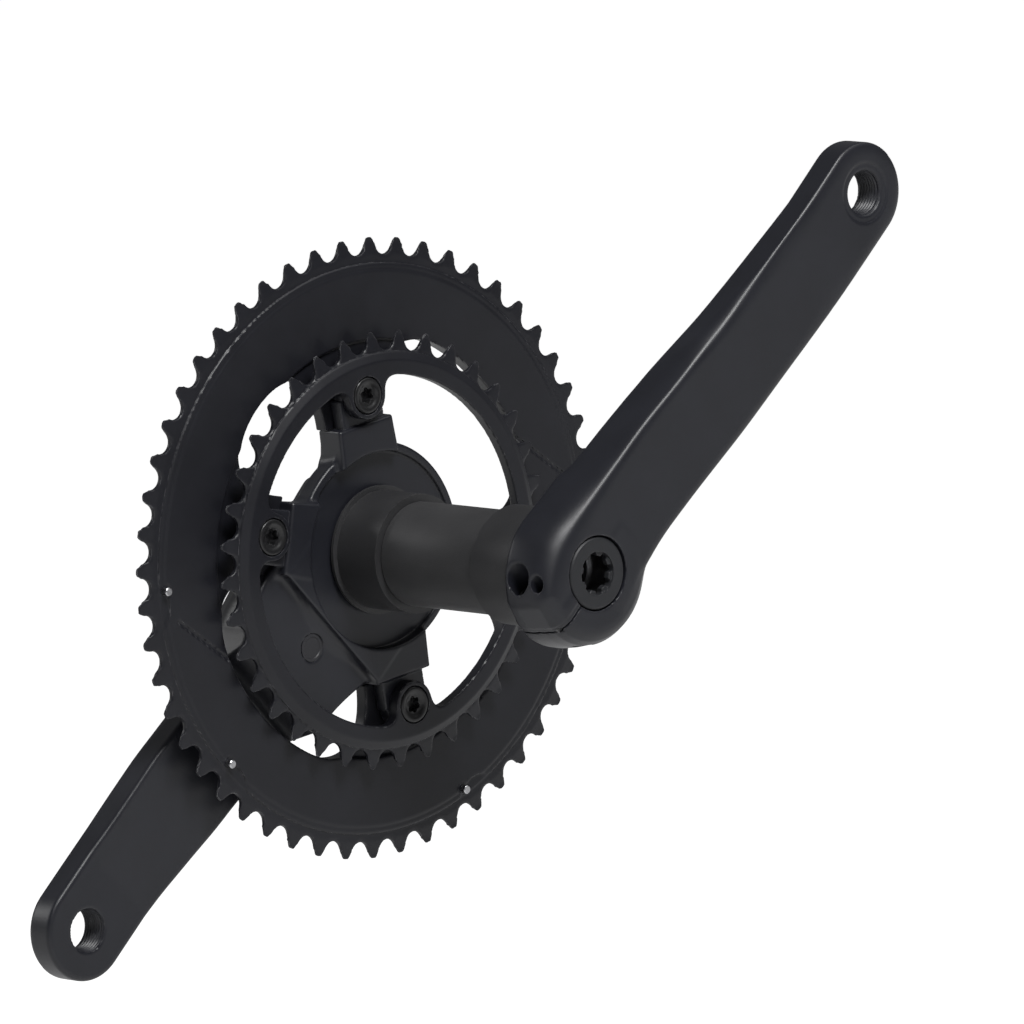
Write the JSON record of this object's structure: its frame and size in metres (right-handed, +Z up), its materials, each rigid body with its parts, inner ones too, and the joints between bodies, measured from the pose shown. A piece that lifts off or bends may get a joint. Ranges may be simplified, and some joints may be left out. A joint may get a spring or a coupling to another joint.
{
  "type": "bicycle crankset",
  "caption": "Two-piece road crankset: two arms on a hollow spindle, a four-arm spider, two chainrings and the bottom bracket it turns in.",
  "frame": {"origin": "middle of the bottom bracket on the spindle axis, on the bicycle's centre plane", "axes": "+X to the rear of the bicycle, +Y along the spindle to the drive side, +Z up; at rest the left arm points up and to the rear"},
  "size_m": [0.2698, 0.148, 0.2808],
  "materials": {
    "cup_black": "moulded black, slight sheen",
    "sleeve_plastic": "moulded black",
    "bearing_steel": "ground bearing steel",
    "seal_rubber": "moulded rubber",
    "cage_nylon": "natural nylon",
    "ball_steel": "polished steel",
    "cover_plastic": "moulded black",
    "spindle_steel": "ground and plated steel",
    "arm_black": "satin black anodised aluminium",
    "plug_grey": "satin dark grey",
    "bolt_black": "black zinc plated steel",
    "washer_steel": "plated steel",
    "stopper_plastic": "moulded grey",
    "cap_black": "glass filled nylon, satin",
    "ring_black": "black anodised aluminium",
    "pin_steel": "bright steel"
  },
  "bodies": {
    "bottom_bracket": {"bb_cup_left": "cup_black", "bb_cup_right": "cup_black", "bb_sleeve": "sleeve_plastic", "outer_race_left": "bearing_steel", "outer_race_right": "bearing_steel", "bearing_seal_left": "seal_rubber", "bearing_seal_right": "seal_rubber"},
    "ball_set_left": {"ball_cage_left": "cage_nylon", "bearing_balls_left": "ball_steel"},
    "ball_set_right": {"ball_cage_right": "cage_nylon", "bearing_balls_right": "ball_steel"},
    "crank": {"inner_race_left": "bearing_steel", "inner_race_right": "bearing_steel", "dust_cover_left": "cover_plastic", "dust_cover_right": "cover_plastic", "spindle": "spindle_steel", "right_crank_arm": "arm_black", "arm_plug": "plug_grey", "left_crank_arm": "arm_black", "clamp_bolts": "bolt_black", "clamp_washers": "washer_steel", "preload_cap": "cap_black", "outer_chainring": "ring_black", "shift_pins": "pin_steel", "inner_chainring": "ring_black", "chainring_bolts": "bolt_black"},
    "safety_plate": {"stopper_plate": "stopper_plastic"}
  },
  "joints": [
    {"name": "crank_spin", "type": "hinge", "parent": "bottom_bracket", "child": "crank", "pos_m": [0, 0, 0], "axis": [0, 1, 0], "continuous": true},
    {"name": "ball_set_left_spin", "type": "hinge", "parent": "bottom_bracket", "child": "ball_set_left", "pos_m": [0, 0, 0], "axis": [0, 1, 0], "continuous": true},
    {"name": "ball_set_right_spin", "type": "hinge", "parent": "bottom_bracket", "child": "ball_set_right", "pos_m": [0, 0, 0], "axis": [0, 1, 0], "continuous": true},
    {"name": "safety_plate_swing", "type": "hinge", "parent": "crank", "child": "safety_plate", "pos_m": [-0.01099, -0.05065, -0.01439], "axis": [-0.723, 0, 0.6909], "range_deg": [-12, 0]}
  ],
  "couplings": [
    {"joint": "ball_set_left_spin", "follows": "crank_spin", "ratio": 0.4435},
    {"joint": "ball_set_right_spin", "follows": "crank_spin", "ratio": 0.4435}
  ]
}
